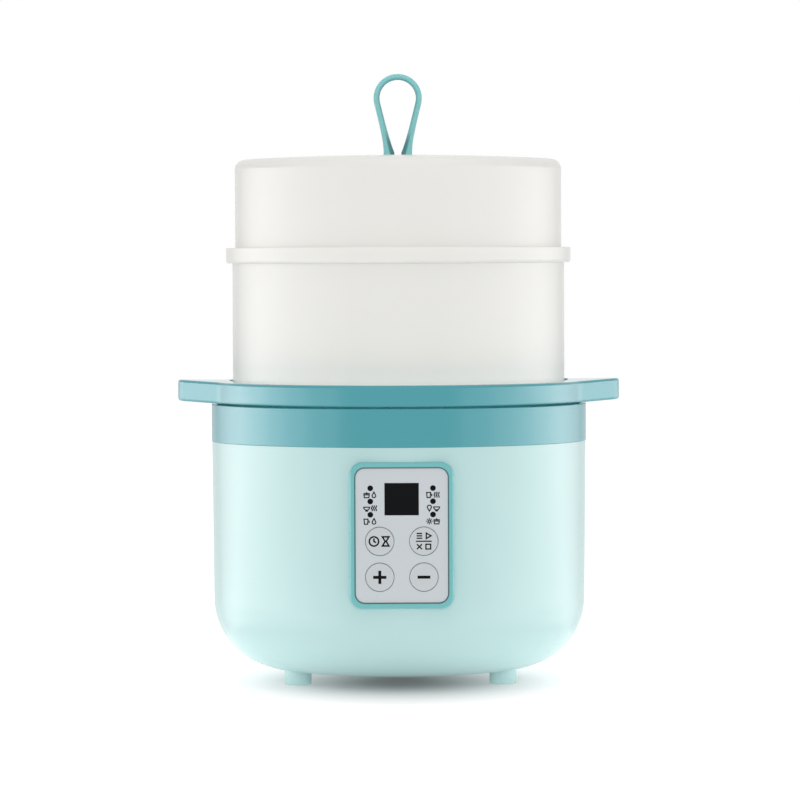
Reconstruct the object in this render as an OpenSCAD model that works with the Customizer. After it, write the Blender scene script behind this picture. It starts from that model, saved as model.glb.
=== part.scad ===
// Electric steam and stew cooker: mint base, teal carry ring, translucent steaming tier and cover.
// Millimetres. The origin lies on the table under the middle of the base, +Z is up and the panel faces -Y.

/* [Base] */
// Outer diameter of the collar, which all the other radii follow
body_d = 177; // [170:1:192]
// Height of the mint housing above the table
housing_top = 113; // [109:1:126]
// Height of the housing floor above the table
leg_h = 6; // [4:0.5:9]
// Radius of the round lower corner of the housing
corner_r = 33; // [32:1:39]
// Wall of the housing
wall = 2.4; // [1.8:0.1:3]
// Loss of radius from the top of the housing down to the round corner
draft = 0.7; // [0:0.1:1.5]
// Height of the teal collar
collar_h = 17.6; // [15:0.2:24]

/* [Feet] */
// Diameter of a foot
foot_d = 12.6; // [10:0.2:15]
// Distance of the feet from the middle, left and right
foot_x = 47.8; // [44:0.2:52]
// Distance of the feet from the middle, front and back
foot_y = 32; // [28:0.5:36]
// How far the soft pad stands out of the foot
pad_out = 0.5; // [0.5:0.1:1.5]

/* [Water tank] */
// Radial gap from the collar to the outside of the tank
tank_inset = 14.7; // [14:0.1:16.5]
// Sheet thickness of the tank
sheet_t = 0.8; // [0.6:0.1:1.2]
// Thickness of the cast heating plate
heater_t = 8; // [7:0.5:9]

/* [Carry ring] */
// Height of the carry ring above its seam
ring_h = 10; // [9:0.2:12]
// Shadow gap between the collar and the ring
seam_gap = 0.6; // [0.5:0.1:1.5]
// Distance from the middle to the tip of an ear
ear_reach = 104.2; // [101:0.2:110]
// Radius of the ear tip
ear_tip_r = 12; // [9:0.5:15]
// How deep inside the round outline the straight ear sides would run on
ear_sink = 5.9; // [4:0.1:9]
// Radius of the hollow where an ear runs into the ring
ear_fillet_r = 20; // [12:1:26]
// How far the ears sweep up to their tips
ear_rise = 0.9; // [0:0.1:2]
// Rounding of the ring edges
ring_edge = 1.4; // [0.8:0.1:2]

/* [Pot] */
// Wall of the ceramic pot
pot_wall = 4; // [3:0.2:5]
// Water space between the tank floor and the pot
water_gap = 13.2; // [8:0.2:20]
// Thickness of the pot lid
pot_lid_t = 3.5; // [3:0.1:4.5]

/* [Steaming tier] */
// Set-back of the tier from the outside of the ring
tier_inset = 10.2; // [9.6:0.1:12]
// Wall of the tier
tier_wall = 2; // [1.6:0.1:2.4]
// Height of the tier from the ring to the band of the cover
tier_h = 55.5; // [48:0.5:80]
// Depth of the tier foot in the ring
tier_sink = 5; // [4:0.1:5.6]

/* [Cover] */
// Height of the thick band
band_h = 7.3; // [6:0.1:10]
// How far the band stands out of the tier
band_out = 3; // [2:0.1:4]
// Height of the cover above the band, up to the middle of its dome
cover_h = 43.4; // [30:0.2:60]
// How far the middle of the dome lies above its edge
cover_rise = 2; // [0.5:0.1:5]
// Rounding of the upper edge of the cover
cover_edge_r = 4.6; // [4:0.1:9]
// Length of the skirt below the band
skirt_l = 15.8; // [8:0.2:22]

/* [Handle] */
// Height of the loop above the cover
loop_h = 38.4; // [34:0.2:48]
// Radius of the loop at its top, on the middle of the strand
loop_r = 10; // [9:0.1:12]
// Width of the strand seen from the front
strand_w = 2.85; // [2.4:0.05:3.6]
// Depth of the strand
strand_d = 4.6; // [3.6:0.1:5.6]
// Lean of the two legs
leg_lean = 14; // [10:0.5:15]

/* [Panel] */
// Width of the bezel
panel_w = 47.4; // [46:0.2:51]
// Height of the bezel
panel_h = 66.4; // [65:0.2:70]
// Distance from the top of the housing to the middle of the panel
panel_drop = 39.7; // [39:0.1:42]
// Width of the bezel frame
bezel_band = 2.5; // [2.2:0.1:2.8]
// Diameter of a button
button_d = 12.7; // [11:0.1:13.2]
// Distance of the buttons from the middle line
button_x = 10; // [9:0.1:10.4]
// Height difference of the two button rows
button_pitch = 16.3; // [15.6:0.1:17]
// Way that a button moves
button_travel = 0.6; // [0.3:0.05:0.7]
// Diameter of an indicator dot
dot_d = 2.5; // [1.8:0.1:3]

/* [Hidden] */
$fn = 96;
// Gaps: between pieces that move apart, and between pieces fixed together
move_gap = 0.3;
fix_gap = 0.1;
// Radii and heights of the base
body_r = body_d / 2;
housing_r_top = body_r - 0.2;
housing_r = housing_r_top - draft;
arc_z = leg_h + corner_r;
flat_r = housing_r - corner_r;
collar_top = housing_top + collar_h;
collar_wall = 2.6;
skirt_drop = 6;
skirt_t = 1.8;
seat_drop = 4.6;
ledge_t = 2.5;
ledge_z = collar_top - seat_drop;
gasket_t = 1;
flange_z = ledge_z + gasket_t;
flange_top = flange_z + sheet_t;
flange_r = body_r - 4;
tank_r = body_r - tank_inset;
tank_z = leg_h + 38;
tank_corner = 8;
// Service opening in the floor
open_r = flat_r - 8.6;
base_cover_r = open_r + 2.4;
base_cover_t = 2;
floor_pad_z = leg_h + 4;
lug_r = open_r - 2;
lug_h = 9;
// Heater
post_r = flat_r - 1.6;
heater_r = post_r + 4;
heater_z = tank_z - heater_t;
heater_boss_z = heater_z - 8;
shield_t = 0.8;
shield_z = heater_boss_z - shield_t;
element_r = post_r - 10;
element_tube = 4;
element_gap_a = 18;
element_end_x = element_r * sin(element_gap_a);
element_end_y = element_r * cos(element_gap_a);
element_end_z = shield_z - 5;
boss_r = 4.5;
boss_hole = 8;
sensor_r = 9;
sensor_hole_r = sensor_r + 2;
clip_t = 0.8;
clip_w = 8;
fuse_y = element_r - 15;
fuse_r = 2;
fuse_l = 12;
fuse_drop = 2.4;
strap_w = 6;
strap_foot = 3.5;
// Power board on posts of the base cover
board_z = leg_h + 7;
board_t = 1.6;
board_w = 50;
board_d = 44;
board_top = board_z + board_t;
post_x = 21;
post_y = 18;
tab_top = board_top + 8;
part_h = 10.5;
header_h = 5;
bulk_x = 10;
bulk_y = 8;
bulk_r = 4;
// Blades and leads
blade_w = 6.3;
blade_t = 0.8;
live_x = 5;
heater_x = 13;
blade_y = 17;
lead_r = 1.2;
lead_in = 1.4;
lead_rise = 1.6;
earth_y = 33;
earth_r = 3;
earth_t = 0.8;
// Mains inlet in a pocket at the back
inlet_y = housing_r - 11.6;
inlet_z = leg_h + 25;
inlet_w = 27.4;
inlet_h = 20;
inlet_back = inlet_y - 18;
inlet_floor = inlet_y - 12.5;
inlet_tab = inlet_back - 8.5;
pin_x = 7;
pin_t = 2;
pin_h = 4;
mouth_w = 24.4;
mouth_h = 16.4;
mouth_cut = 4.2;
rim_out = 2;
// Carry ring
ring_z = collar_top + seam_gap;
ring_top = ring_z + ring_h;
tier_r = body_r - tier_inset;
tier_z = ring_top - tier_sink;
recess_r = tier_r + 1.7;
pot_flange_r = tier_r - 11.9;
ring_bore = pot_flange_r - 5.4;
pot_seat_z = ring_z + 2.4;
ring_fit_r = body_r - collar_wall - 0.6;
// Pot
pot_flange_t = 3.2;
pot_top = pot_seat_z + pot_flange_t;
pot_r = ring_bore - 2.5;
pot_z = tank_z + sheet_t + water_gap;
pot_corner = 14;
lid_r = pot_flange_r - 4.4;
lid_top = pot_top + pot_lid_t;
knob_h = 6.5;
// Tier, tray and cover
tier_in = tier_r - tier_wall;
tray_seat = lid_top + knob_h + 2;
tray_z = tray_seat + 2;
tray_r = tier_in - 0.5;
band_z = ring_top + tier_h;
band_top = band_z + band_h;
band_r = tier_r + band_out;
tier_top = band_top - 2.6;
cover_r = tier_r - 1.3;
cover_wall = 2;
cover_top = band_top + cover_h;
cover_flat_r = cover_r - cover_edge_r;
dome_r = (pow(cover_flat_r, 2) + pow(cover_rise, 2)) / (2 * cover_rise);
skirt_r = tier_in - 0.4;
cover_skirt_t = 1.7;
// Loop handle
loop_top = cover_top + loop_h;
loop_cz = loop_top - strand_w / 2 - loop_r;
lean_x = loop_r * cos(leg_lean);
lean_z = loop_cz - loop_r * sin(leg_lean);
root_turn = 0.35;
root_x = lean_x - (lean_z - cover_top) * tan(leg_lean) + root_turn;
hole_x = root_x - 0.1;
neck_r = 2.2;
barb_r = 3.3;
// Panel: distances from the axis towards the front
panel_z = housing_top - panel_drop;
panel_y = body_r + 1.1;
plate_y = panel_y - 0.5;
plate_t = 1.2;
plate_back = plate_y - plate_t;
ledge_back = plate_back - 1.2;
board_y = panel_y - 8.7;
tub_w = panel_w - 4.4;
tub_h = panel_h - 4.4;
tub_t = 1.6;
bezel_r = 6;
bezel_edge = 1.2;
snap_y = sqrt(pow(housing_r - wall, 2) - pow(tub_w / 2 + 1, 2)) - 0.4;
seat_w = panel_w - 2 * bezel_band;
seat_h = panel_h - 2 * bezel_band;
plate_w = seat_w - 0.5;
plate_h = seat_h - 0.5;
screw_x = tub_w / 2 - 4;
screw_y = tub_h / 2 - 4.2;
screw_bite = 5;
// Panel: heights from its middle
row_low = -0.2846 * panel_h;
row_top = row_low + button_pitch;
display_y = 0.2485 * panel_h;
display_w = 15.4;
display_h = 14.5;
dot_x = 0.2996 * panel_w;
dot_ys = [0.3238 * panel_h, 0.2334 * panel_h, 0.1431 * panel_h];
button_spots = [[-button_x, row_top], [button_x, row_top], [-button_x, row_low], [button_x, row_low]];
button_front = plate_y + 0.4;
button_edge = 0.35;
flange_out = 1;
flange_front = plate_back - fix_gap;
flange_back = flange_front - 1;
stem_r = 2.2;
plunger_r = 1.6;
switch_w = 6;
switch_h = 3.5;
switch_top = board_y + switch_h;
stem_end = switch_top + button_travel + 0.2;
plunger_in = 1.4;

// Shared shapes

// Half section of a cup with a round lower corner and drafted sides
module cup_region(r, z0, rc, top, dr) {
  translate([0, z0]) square([r - rc, top - z0]);
  polygon([[0, z0 + rc], [r, z0 + rc], [r + dr, top], [0, top]]);
  intersection() {
    translate([r - rc, z0 + rc]) circle(rc);
    translate([r - rc, z0]) square([rc, rc]);
  }
}

// Corner that is taken off a section to round it; sx and sz point out of the corner
module edge_cut(x, z, r, sx, sz) {
  difference() {
    translate([sx > 0 ? x - r : x - 1, sz > 0 ? z - r : z - 1]) square([r + 1, r + 1]);
    translate([x - sx * r, z - sz * r]) circle(r);
  }
}

// Rounded rectangle about its middle
module round_rect(w, h, r) {
  square([w - 2 * r, h], center = true);
  square([w, h - 2 * r], center = true);
  for (x = [-1, 1], y = [-1, 1]) translate([x * (w / 2 - r), y * (h / 2 - r)]) circle(r);
}

// Upright tube
module tube(r_out, r_in, z0, z1) {
  translate([0, 0, z0]) difference() {
    cylinder(r = r_out, h = z1 - z0);
    translate([0, 0, -1]) cylinder(r = r_in, h = z1 - z0 + 2);
  }
}

// Box given by its corners
module block(x0, x1, y0, y1, z0, z1) {
  translate([x0, y0, z0]) cube([x1 - x0, y1 - y0, z1 - z0]);
}

// Copies round the axis
module round_axis(n, r, first) {
  for (i = [0 : n - 1]) rotate(first + i * 360 / n) translate([r, 0, 0]) children();
}

// Panel frame: x to the right, y up from the panel middle, z out to the front
module on_panel(y0) {
  translate([0, 0, panel_z]) rotate([90, 0, 0]) translate([0, 0, y0]) children();
}

// Skin over a row of closed outlines with equal point counts
module skin(rows) {
  m = len(rows[0]);
  last = (len(rows) - 1) * m;
  points = [for (row = rows) each row];
  sides = [for (i = [0 : len(rows) - 2], j = [0 : m - 1])
    each [[i * m + j, (i + 1) * m + j, (i + 1) * m + (j + 1) % m],
          [i * m + j, (i + 1) * m + (j + 1) % m, i * m + (j + 1) % m]]];
  first_cap = [for (j = [0 : m - 1]) j];
  last_cap = [for (j = [m - 1 : -1 : 0]) last + j];
  polyhedron(points, concat(sides, [first_cap, last_cap]), convexity = 6);
}

function arc_points(cx, cy, r, a0, a1, n) =
  [for (i = [0 : n]) [cx + r * cos(a0 + (a1 - a0) * i / n), cy + r * sin(a0 + (a1 - a0) * i / n)]];

// Smooth curve through a list of points
function curve_part(a, b, c, d, t) =
  0.5 * (2 * b + (c - a) * t + (2 * a - 5 * b + 4 * c - d) * t * t + (3 * b - a - 3 * c + d) * t * t * t);
function curve(p, n) = concat(
  [for (i = [0 : len(p) - 2], k = [0 : n - 1])
    curve_part(p[max(i - 1, 0)], p[i], p[i + 1], p[min(i + 2, len(p) - 1)], k / n)],
  [p[len(p) - 1]]);
function unit(v) = v / norm(v);
function heading(p, i) = unit(p[min(i + 1, len(p) - 1)] - p[max(i - 1, 0)]);

// Round insulated lead along a smooth curve
module lead(path, r) {
  p = curve(path, 4);
  sides = 8;
  rows = [for (i = [0 : len(p) - 1])
    let (t = heading(p, i), u = unit(cross(t, [1, 0, 0])), v = cross(t, u))
    [for (j = [0 : sides - 1]) p[i] + r * (cos(j * 360 / sides) * u + sin(j * 360 / sides) * v)]];
  skin(rows);
}

// Outer shape of the housing, grown by a gap
module housing_solid(grow) {
  rotate_extrude() cup_region(housing_r + grow, leg_h - grow, corner_r + grow, housing_top, draft);
}

// Base

// Mint cup with legs, floor lugs, inlet pocket and panel opening
module outer_housing() {
  color([0.73, 0.87, 0.86]) difference() {
    union() {
      difference() {
        union() {
          housing_solid(0);
          for (x = [-foot_x, foot_x], y = [-foot_y, foot_y]) translate([x, y, 0]) foot_leg();
        }
        rotate_extrude()
          cup_region(housing_r - wall, leg_h + wall, corner_r - wall, housing_top + 1, draft);
        translate([0, 0, leg_h - 1]) cylinder(r = open_r, h = wall + 2);
      }
      tube(flat_r + 3.4, open_r, leg_h + wall / 2, floor_pad_z);
      round_axis(3, lug_r, 60) translate([0, 0, leg_h + base_cover_t]) cylinder(r = 4, h = lug_h);
      intersection() {
        housing_solid(0);
        block(-18.9, 18.9, inlet_y - 2.4, body_r + 5, inlet_z - 15.4, inlet_z + 15.4);
      }
    }
    translate([0, 0, leg_h - 1]) cylinder(r = base_cover_r + 0.2, h = base_cover_t + 1);
    round_axis(3, lug_r, 60) translate([0, 0, leg_h + base_cover_t - 1]) cylinder(r = 1.5, h = lug_h - 1);
    round_axis(3, post_r, 0) {
      translate([0, 0, leg_h - 1]) cylinder(r = 3.4, h = 3);
      translate([0, 0, leg_h]) cylinder(r = 2.2, h = 10);
    }
    block(-16.5, 16.5, inlet_y, body_r + 5, inlet_z - 13, inlet_z + 13);
    block(-inlet_w / 2 - 0.3, inlet_w / 2 + 0.3, inlet_y - 5, inlet_y + 1,
      inlet_z - inlet_h / 2 - 0.3, inlet_z + inlet_h / 2 + 0.3);
    on_panel(board_y - 4) linear_extrude(20) round_rect(tub_w + 0.6, tub_h + 0.6, 4.3);
    for (x = [-foot_x, foot_x], y = [-foot_y, foot_y])
      translate([x, y, -1]) cylinder(r = foot_d / 2 - 0.85, h = pad_out + 2);
  }
}

// One leg with a broken lower edge
module foot_leg() {
  rotate_extrude() difference() {
    translate([0, pad_out]) square([foot_d / 2, leg_h + 14 - pad_out]);
    edge_cut(foot_d / 2, pad_out, 0.8, 1, -1);
  }
}

// Teal collar with a skirt in the housing and a ledge for the tank
module collar() {
  inner = body_r - collar_wall;
  skirt_out = housing_r_top - wall - move_gap;
  skirt_in = skirt_out - skirt_t;
  color([0.36, 0.62, 0.66]) rotate_extrude() difference() {
    polygon([
      [skirt_in, housing_top - skirt_drop], [skirt_out, housing_top - skirt_drop], [skirt_out, housing_top],
      [body_r, housing_top], [body_r, collar_top], [inner, collar_top], [inner, ledge_z],
      [tank_r + 1.7, ledge_z], [tank_r + 1.7, ledge_z - ledge_t], [inner, ledge_z - ledge_t],
      [inner, housing_top + 2.5], [skirt_in, housing_top + 1]
    ]);
    edge_cut(body_r, collar_top, 0.4, 1, 1);
    edge_cut(body_r, housing_top, 0.4, 1, -1);
  }
}

// Floor plate with air slots and posts for the power board
module base_cover() {
  color([0.70, 0.84, 0.83]) difference() {
    union() {
      translate([0, 0, leg_h]) cylinder(r = base_cover_r, h = base_cover_t);
      for (x = [-post_x, post_x], y = [-post_y, post_y])
        translate([x, y, leg_h + 1]) cylinder(r = 2.8, h = board_z - leg_h - 1);
    }
    for (y = [-10 : 5 : 10]) block(-13, 13, y - 1.1, y + 1.1, leg_h - 1, leg_h + base_cover_t + 1);
    round_axis(3, lug_r, 60) {
      translate([0, 0, leg_h - 1]) cylinder(r = 1.8, h = base_cover_t + 2);
      translate([0, 0, leg_h - 0.01]) cylinder(r1 = 3.4, r2 = 1.8, h = 1.6);
    }
    for (x = [-post_x, post_x], y = [-post_y, post_y])
      translate([x, y, leg_h + 1.5]) cylinder(r = 1.15, h = 20);
  }
}

// Four soft pads let into the legs
module foot_pads() {
  color([0.80, 0.90, 0.89]) for (x = [-foot_x, foot_x], y = [-foot_y, foot_y])
    translate([x, y, 0]) rotate_extrude() difference() {
      square([foot_d / 2 - 0.95, pad_out + 1]);
      edge_cut(foot_d / 2 - 0.95, 0, 0.4, 1, -1);
    }
}

// Drawn steel tank with a flange that lies on the gasket
module water_tank() {
  inside = tank_r - sheet_t;
  color([0.78, 0.79, 0.80]) rotate_extrude() {
    difference() {
      cup_region(tank_r, tank_z, tank_corner, flange_top, 0);
      cup_region(inside, tank_z + sheet_t, tank_corner - sheet_t, flange_top + 1, 0);
    }
    translate([tank_r - sheet_t / 2, flange_z]) square([flange_r - tank_r + sheet_t / 2, sheet_t]);
  }
}

// Flat ring between the collar ledge and the tank flange
module tank_gasket() {
  color([0.92, 0.92, 0.90]) tube(flange_r, tank_r + 2.7, ledge_z, flange_z);
}

// Cast plate with three bosses and a groove for the element
module heating_plate() {
  color([0.72, 0.73, 0.74]) difference() {
    union() {
      translate([0, 0, heater_z]) cylinder(r = heater_r, h = heater_t);
      round_axis(3, post_r, 0)
        translate([0, 0, heater_boss_z]) cylinder(r = boss_r, h = heater_z - heater_boss_z + 1);
    }
    translate([0, 0, heater_z - 1]) cylinder(r = sensor_hole_r, h = heater_t + 2);
    translate([0, 0, heater_z]) rotate_extrude() translate([element_r, 0]) circle(element_tube + 0.05);
    round_axis(3, post_r, 0) translate([0, 0, heater_boss_z - 1]) cylinder(r = 2, h = boss_hole);
  }
}

// Tubular element, open at the back, with two ends that reach down through the shield
module heating_element() {
  color([0.45, 0.45, 0.44]) {
    translate([0, 0, heater_z]) rotate(90 + element_gap_a) rotate_extrude(angle = 360 - 2 * element_gap_a)
      translate([element_r, 0]) circle(element_tube);
    for (x = [-element_end_x, element_end_x]) translate([x, element_end_y, element_end_z])
      cylinder(r = 3, h = heater_z - element_end_z);
  }
}

// Three spacer tubes between the floor and the shield
module heater_spacers() {
  color([0.80, 0.80, 0.78]) round_axis(3, post_r, 0) tube(boss_r, 2.2, floor_pad_z, shield_z);
}

// Sensor cup pressed on the tank floor
module temperature_sensor() {
  color([0.75, 0.75, 0.76]) {
    translate([0, 0, heater_z - 3]) cylinder(r = sensor_r, h = heater_t + 3);
    translate([0, 0, heater_z - 5]) cylinder(r = 3, h = 2.5);
  }
}

// Bridge of sheet steel that holds the sensor
module sensor_clip() {
  reach = sensor_hole_r + 6;
  color([0.68, 0.68, 0.70]) {
    difference() {
      block(-reach, reach, -clip_w / 2, clip_w / 2, heater_z - 3 - clip_t, heater_z - 3);
      translate([0, 0, heater_z - 6]) cylinder(r = 3.2, h = 6);
    }
    for (s = [-1, 1]) {
      translate([s * (reach - clip_t / 2), 0, 0])
        block(-clip_t / 2, clip_t / 2, -clip_w / 2, clip_w / 2, heater_z - 3 - clip_t, heater_z);
      translate([s * (reach + 2.1), 0, 0])
        block(-2.9, 2.9, -clip_w / 2, clip_w / 2, heater_z - clip_t, heater_z);
    }
  }
}

// Thermal fuse with its two wire ends
module thermal_fuse() {
  color([0.82, 0.80, 0.74]) translate([0, -fuse_y, heater_z - fuse_drop]) rotate([0, 90, 0]) {
    translate([0, 0, -fuse_l / 2]) cylinder(r = fuse_r, h = fuse_l);
    translate([0, 0, -fuse_l / 2 - 5]) cylinder(r = 0.6, h = fuse_l + 10);
  }
}

// Strap over the fuse
module fuse_clip() {
  side = fuse_r + 1;
  color([0.68, 0.68, 0.70]) {
    difference() {
      block(-strap_w / 2, strap_w / 2, -fuse_y - side, side - fuse_y,
        heater_z - fuse_drop - fuse_r - clip_t, heater_z);
      translate([-strap_w, -fuse_y, heater_z - fuse_drop]) rotate([0, 90, 0])
        cylinder(r = fuse_r + 0.05, h = 2 * strap_w);
      block(-strap_w, strap_w, -fuse_y - fuse_r - 0.05, fuse_r + 0.05 - fuse_y,
        heater_z - fuse_drop, heater_z + 1);
    }
    for (y = [-fuse_y - side - strap_foot, side - fuse_y - 0.2])
      block(-strap_w / 2, strap_w / 2, y, y + strap_foot + 0.2, heater_z - clip_t, heater_z);
  }
}

// Sheet that keeps the heat off the power board
module heat_shield() {
  color([0.80, 0.81, 0.82]) difference() {
    translate([0, 0, shield_z]) cylinder(r = heater_r + 2, h = shield_t);
    round_axis(3, post_r, 0) translate([0, 0, shield_z - 1]) cylinder(r = 2.2, h = 4);
    for (x = [-element_end_x, element_end_x])
      translate([x, element_end_y, shield_z - 1]) cylinder(r = 3.8, h = 4);
    block(-14, 14, inlet_tab - 5, heater_r + 9, shield_z - 1, shield_z + 3);
  }
}

// Power board with the cable header
module power_board() {
  color([0.20, 0.42, 0.25]) {
    difference() {
      block(-board_w / 2, board_w / 2, -board_d / 2, board_d / 2, board_z, board_top);
      for (x = [-post_x, post_x], y = [-post_y, post_y])
        translate([x, y, board_z - 1]) cylinder(r = 1.3, h = 4);
    }
    block(-8, 8, -20.5, -15.5, board_top, board_top + header_h);
  }
}

// Relay that switches the heater
module power_relay() {
  color([0.16, 0.25, 0.45]) block(-20.5, -1.5, -4.5, 10.5, board_top, board_top + part_h);
}

// Film capacitor across the mains
module filter_capacitor() {
  color([0.85, 0.65, 0.20]) block(4, 22, 1.5, 8.5, board_top, board_top + part_h);
}

// Round capacitor of the low-voltage supply
module bulk_capacitor() {
  color([0.15, 0.15, 0.20]) translate([bulk_x, -bulk_y, board_top]) cylinder(r = bulk_r, h = part_h);
}

// Four flat blades for the leads
module board_terminals() {
  color([0.80, 0.76, 0.60]) for (x = [-heater_x, -live_x, live_x, heater_x])
    block(x - blade_w / 2, x + blade_w / 2, blade_y - blade_t / 2, blade_y + blade_t / 2, board_top, tab_top);
}

// Shell of the mains inlet with a chamfered mouth
module inlet_socket() {
  w = inlet_w / 2;
  h = inlet_h / 2;
  m = mouth_w / 2;
  n = mouth_h / 2;
  t = pin_t / 2 + 0.05;
  color([0.12, 0.12, 0.13]) difference() {
    union() {
      block(-w, w, inlet_back, inlet_y + 1, inlet_z - h, inlet_z + h);
      translate([0, inlet_y + rim_out, inlet_z]) rotate([90, 0, 0]) linear_extrude(rim_out)
        round_rect(inlet_w + 1.8 * rim_out, inlet_h + 2 * rim_out, rim_out);
    }
    translate([0, inlet_y + rim_out + 1, inlet_z]) rotate([90, 0, 0])
      linear_extrude(inlet_y + rim_out + 1 - inlet_floor) polygon([
        [-m, -n], [m, -n], [m, n - mouth_cut], [m - mouth_cut, n], [mouth_cut - m, n], [-m, n - mouth_cut]]);
    for (x = [-pin_x, pin_x])
      block(x - t, x + t, inlet_back - 1, inlet_floor + 1, inlet_z - pin_h - 0.05, inlet_z + 0.05);
    block(-t, t, inlet_back - 1, inlet_floor + 1, inlet_z - 0.05, inlet_z + pin_h + 0.05);
  }
}

// Three blades of the inlet with their tabs
module inlet_pins() {
  color([0.80, 0.76, 0.60]) {
    for (x = [-pin_x, pin_x]) {
      block(x - pin_t / 2, x + pin_t / 2, inlet_back - 0.5, inlet_y - 0.5, inlet_z - pin_h, inlet_z);
      block(x - blade_t / 2, x + blade_t / 2, inlet_tab, inlet_back - 0.3,
        inlet_z - pin_h / 2 - blade_w / 2, inlet_z - pin_h / 2 + blade_w / 2);
    }
    block(-pin_t / 2, pin_t / 2, inlet_back - 0.5, inlet_y - 0.5, inlet_z, inlet_z + pin_h);
    block(-blade_w / 2, blade_w / 2, inlet_tab, inlet_back - 0.3,
      inlet_z + pin_h / 2 - blade_t / 2, inlet_z + pin_h / 2 + blade_t / 2);
  }
}

// Control panel

// Board behind the panel with the cable header on its back
module control_board() {
  color([0.18, 0.40, 0.24]) {
    difference() {
      on_panel(board_y - board_t) linear_extrude(board_t) round_rect(tub_w - 1, tub_h - 1, 2);
      for (x = [-screw_x, screw_x], y = [-screw_y, screw_y])
        on_panel(board_y - 3) translate([x, y, 0]) cylinder(r = 1.4, h = 5);
    }
    on_panel(board_y - board_t - 3) translate([-7, -tub_h / 2 + 2, 0]) cube([14, 5, 3]);
  }
}

// Two-digit display on the board
module display_module() {
  color([0.10, 0.10, 0.11]) on_panel(board_y) translate([-7.5, display_y - 7, 0])
    cube([15, 14, plate_back - board_y - 0.3]);
}

// Four switch bodies, each with a bore for its plunger
module tact_switches() {
  color([0.22, 0.22, 0.23]) for (spot = button_spots) on_panel(board_y) translate([spot[0], spot[1], 0])
    difference() {
      translate([-switch_w / 2, -switch_w / 2, 0]) cube([switch_w, switch_w, switch_h]);
      translate([0, 0, switch_h - plunger_in - button_travel - 0.2])
        cylinder(r = plunger_r + move_gap, h = switch_h);
    }
}

// Six lamps on the board
module status_leds() {
  color([0.90, 0.90, 0.80]) for (x = [-dot_x, dot_x], y = dot_ys) on_panel(board_y)
    translate([x - 0.8, y - 0.8, 0]) cube([1.6, 1.6, 1]);
}

// Six dark light guides in the plate
module indicator_lenses() {
  color([0.08, 0.09, 0.10]) for (x = [-dot_x, dot_x], y = dot_ys)
    on_panel(board_y + 1.2) translate([x, y, 0]) {
      cylinder(d = dot_d, h = plate_y - board_y - 1.2);
      cylinder(d = dot_d + 1, h = plate_back - board_y - 1.3);
    }
}

// Dark window in front of the display
module display_window() {
  color([0.06, 0.06, 0.07]) on_panel(plate_back) translate([0, display_y, 0]) linear_extrude(plate_t)
    square([display_w, display_h], center = true);
}

// Outline of the bezel, drawn in by a distance; rise runs from 0 at the sides to 1 at the front
function bezel_row(e, rise) = [for (q = [[1, 1, 0], [-1, 1, 90], [-1, -1, 180], [1, -1, 270]], i = [0 : 6])
  [q[0] * (panel_w / 2 - bezel_r) + (bezel_r - e) * cos(q[2] + i * 15),
   q[1] * (panel_h / 2 - bezel_r) + (bezel_r - e) * sin(q[2] + i * 15), bezel_edge * (rise - 1)]];

// Teal frame that lies on the round housing, with a tub and snap lugs behind it
module panel_bezel() {
  color([0.46, 0.72, 0.73]) difference() {
    union() {
      difference() {
        union() {
          on_panel(board_y)
            linear_extrude(panel_y - bezel_edge - board_y) round_rect(panel_w, panel_h, bezel_r);
          on_panel(panel_y) skin([for (a = [0 : 18 : 90]) bezel_row(bezel_edge * (1 - cos(a)), sin(a))]);
        }
        housing_solid(0.05);
      }
      on_panel(board_y) linear_extrude(panel_y - bezel_edge - board_y) round_rect(tub_w, tub_h, 4);
      for (s = [-1, 1], y = [-15, 15]) on_panel(board_y) translate([s * tub_w / 2 - 0.7, y - 3, 0])
        cube([1.4, 6, snap_y - board_y]);
    }
    on_panel(plate_back) linear_extrude(5) round_rect(seat_w, seat_h, 4.4);
    difference() {
      union() {
        on_panel(board_y - 1) linear_extrude(ledge_back - board_y + 1)
          round_rect(tub_w - 2 * tub_t, tub_h - 2 * tub_t, 2.4);
        on_panel(board_y) linear_extrude(plate_back - board_y + 1)
          round_rect(seat_w - 3.4, seat_h - 4.4, 2.4);
      }
      for (x = [-screw_x, screw_x], y = [-screw_y, screw_y])
        on_panel(board_y - 2) translate([x, y, 0]) cylinder(r = 2.6, h = plate_back - board_y + 2);
    }
    for (x = [-screw_x, screw_x], y = [-screw_y, screw_y])
      on_panel(board_y - 1) translate([x, y, 0]) cylinder(r = 1.2, h = 5.6);
  }
}

// Silver plate with holes for the buttons, dots and window
module panel_plate() {
  color([0.81, 0.83, 0.84]) difference() {
    on_panel(plate_back) linear_extrude(plate_t) round_rect(plate_w, plate_h, 4.2);
    for (spot = button_spots)
      on_panel(plate_back - 1) translate([spot[0], spot[1], 0]) cylinder(r = button_d / 2 + move_gap, h = 4);
    for (x = [-dot_x, dot_x], y = dot_ys)
      on_panel(plate_back - 1) translate([x, y, 0]) cylinder(r = dot_d / 2 + 0.05, h = 4);
    on_panel(plate_back - 1) translate([-display_w / 2 - fix_gap, display_y - display_h / 2 - fix_gap, 0])
      cube([display_w + 2 * fix_gap, display_h + 2 * fix_gap, 4]);
  }
}

// Button cap with a flange behind the plate and a stem
module button_at(spot) {
  on_panel(0) translate([spot[0], spot[1], 0]) {
    translate([0, 0, flange_back]) rotate_extrude() difference() {
      square([button_d / 2, button_front - flange_back]);
      edge_cut(button_d / 2, button_front - flange_back, button_edge, 1, 1);
    }
    translate([0, 0, flange_back]) cylinder(r = button_d / 2 + flange_out, h = flange_front - flange_back);
    translate([0, 0, stem_end]) cylinder(r = stem_r, h = flange_back - stem_end + 0.5);
  }
}

// Plunger of a switch, which moves with its button
module plunger_at(spot) {
  on_panel(switch_top - plunger_in) translate([spot[0], spot[1], 0])
    cylinder(r = plunger_r, h = stem_end - switch_top + plunger_in);
}

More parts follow.
